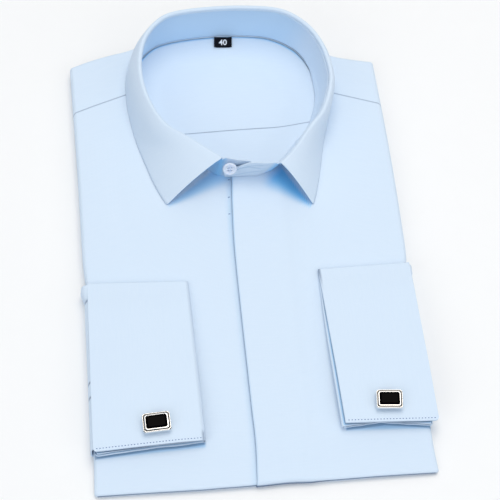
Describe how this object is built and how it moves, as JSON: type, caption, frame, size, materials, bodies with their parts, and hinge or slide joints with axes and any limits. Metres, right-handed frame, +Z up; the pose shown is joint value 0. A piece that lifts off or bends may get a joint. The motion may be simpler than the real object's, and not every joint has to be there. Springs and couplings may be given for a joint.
{
  "type": "folded long sleeve dress shirt",
  "caption": "Long sleeve dress shirt folded flat for display, with a buttoned standing collar, a covered placket and turned-back double cuffs closed with cufflinks laid on its front.",
  "frame": {"origin": "centre of the footprint, on the surface the shirt lies on", "axes": "+X towards the wearer's left side, +Y from the hem fold to the collar, +Z up from the surface"},
  "size_m": [0.239, 0.3834, 0.0474],
  "materials": {
    "cloth": "fine smooth shirting, pale blue, matt",
    "button": "pearly, half gloss",
    "label": "woven, black",
    "metal": "polished",
    "stone": "polished black"
  },
  "bodies": {
    "root": {"front_right": "cloth", "front_left": "cloth", "yoke_outer": "cloth", "yoke_inner": "cloth", "back_panel": "cloth", "collar_stand": "cloth", "collar_leaf": "cloth", "collar_button": "button", "sleeve_right": "cloth", "sleeve_left": "cloth", "cuff_right": "cloth", "cuff_left": "cloth", "cufflink_right_frame": "metal", "cufflink_right_stone": "stone", "cufflink_right_post": "metal", "cufflink_left_frame": "metal", "cufflink_left_stone": "stone", "cufflink_left_post": "metal", "size_label": "label", "folded_layers": "cloth"}
  },
  "joints": []
}
